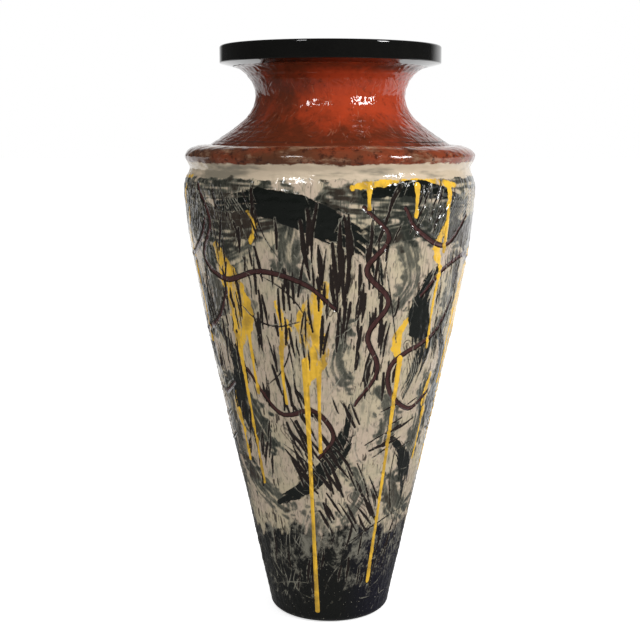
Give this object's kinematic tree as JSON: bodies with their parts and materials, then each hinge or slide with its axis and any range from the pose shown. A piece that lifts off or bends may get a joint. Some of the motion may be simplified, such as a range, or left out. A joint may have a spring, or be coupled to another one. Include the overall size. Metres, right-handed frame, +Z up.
{
  "type": "floor vase",
  "caption": "Tall tapering glazed stoneware floor vase with a narrow foot, wide shoulder with a rolled bead, short waisted neck and flat collar rim.",
  "frame": {"origin": "centre of the plane that the foot ring stands on", "axes": "+Z up along the vase's axis; the body is round, and +X and +Y fix only where the decoration lies, with its pictured side facing -Y"},
  "size_m": [0.4534, 0.4534, 0.9002],
  "materials": {
    "black_glaze": "glossy near-black glaze",
    "red_glaze": "glossy orange-red glaze, mottled dark brown",
    "brown_glaze": "glossy red-brown glaze, scratched",
    "painted_glaze": "glossy pinkish-beige ground with dark brush bands, brown lines and yellow runs",
    "dark_glaze": "glossy blue-black glaze with pale specks"
  },
  "bodies": {
    "root": {"foot": "dark_glaze", "lower_wall": "painted_glaze", "middle_wall": "painted_glaze", "upper_wall": "painted_glaze", "shoulder": "brown_glaze", "neck": "red_glaze", "rim": "black_glaze"}
  },
  "joints": []
}
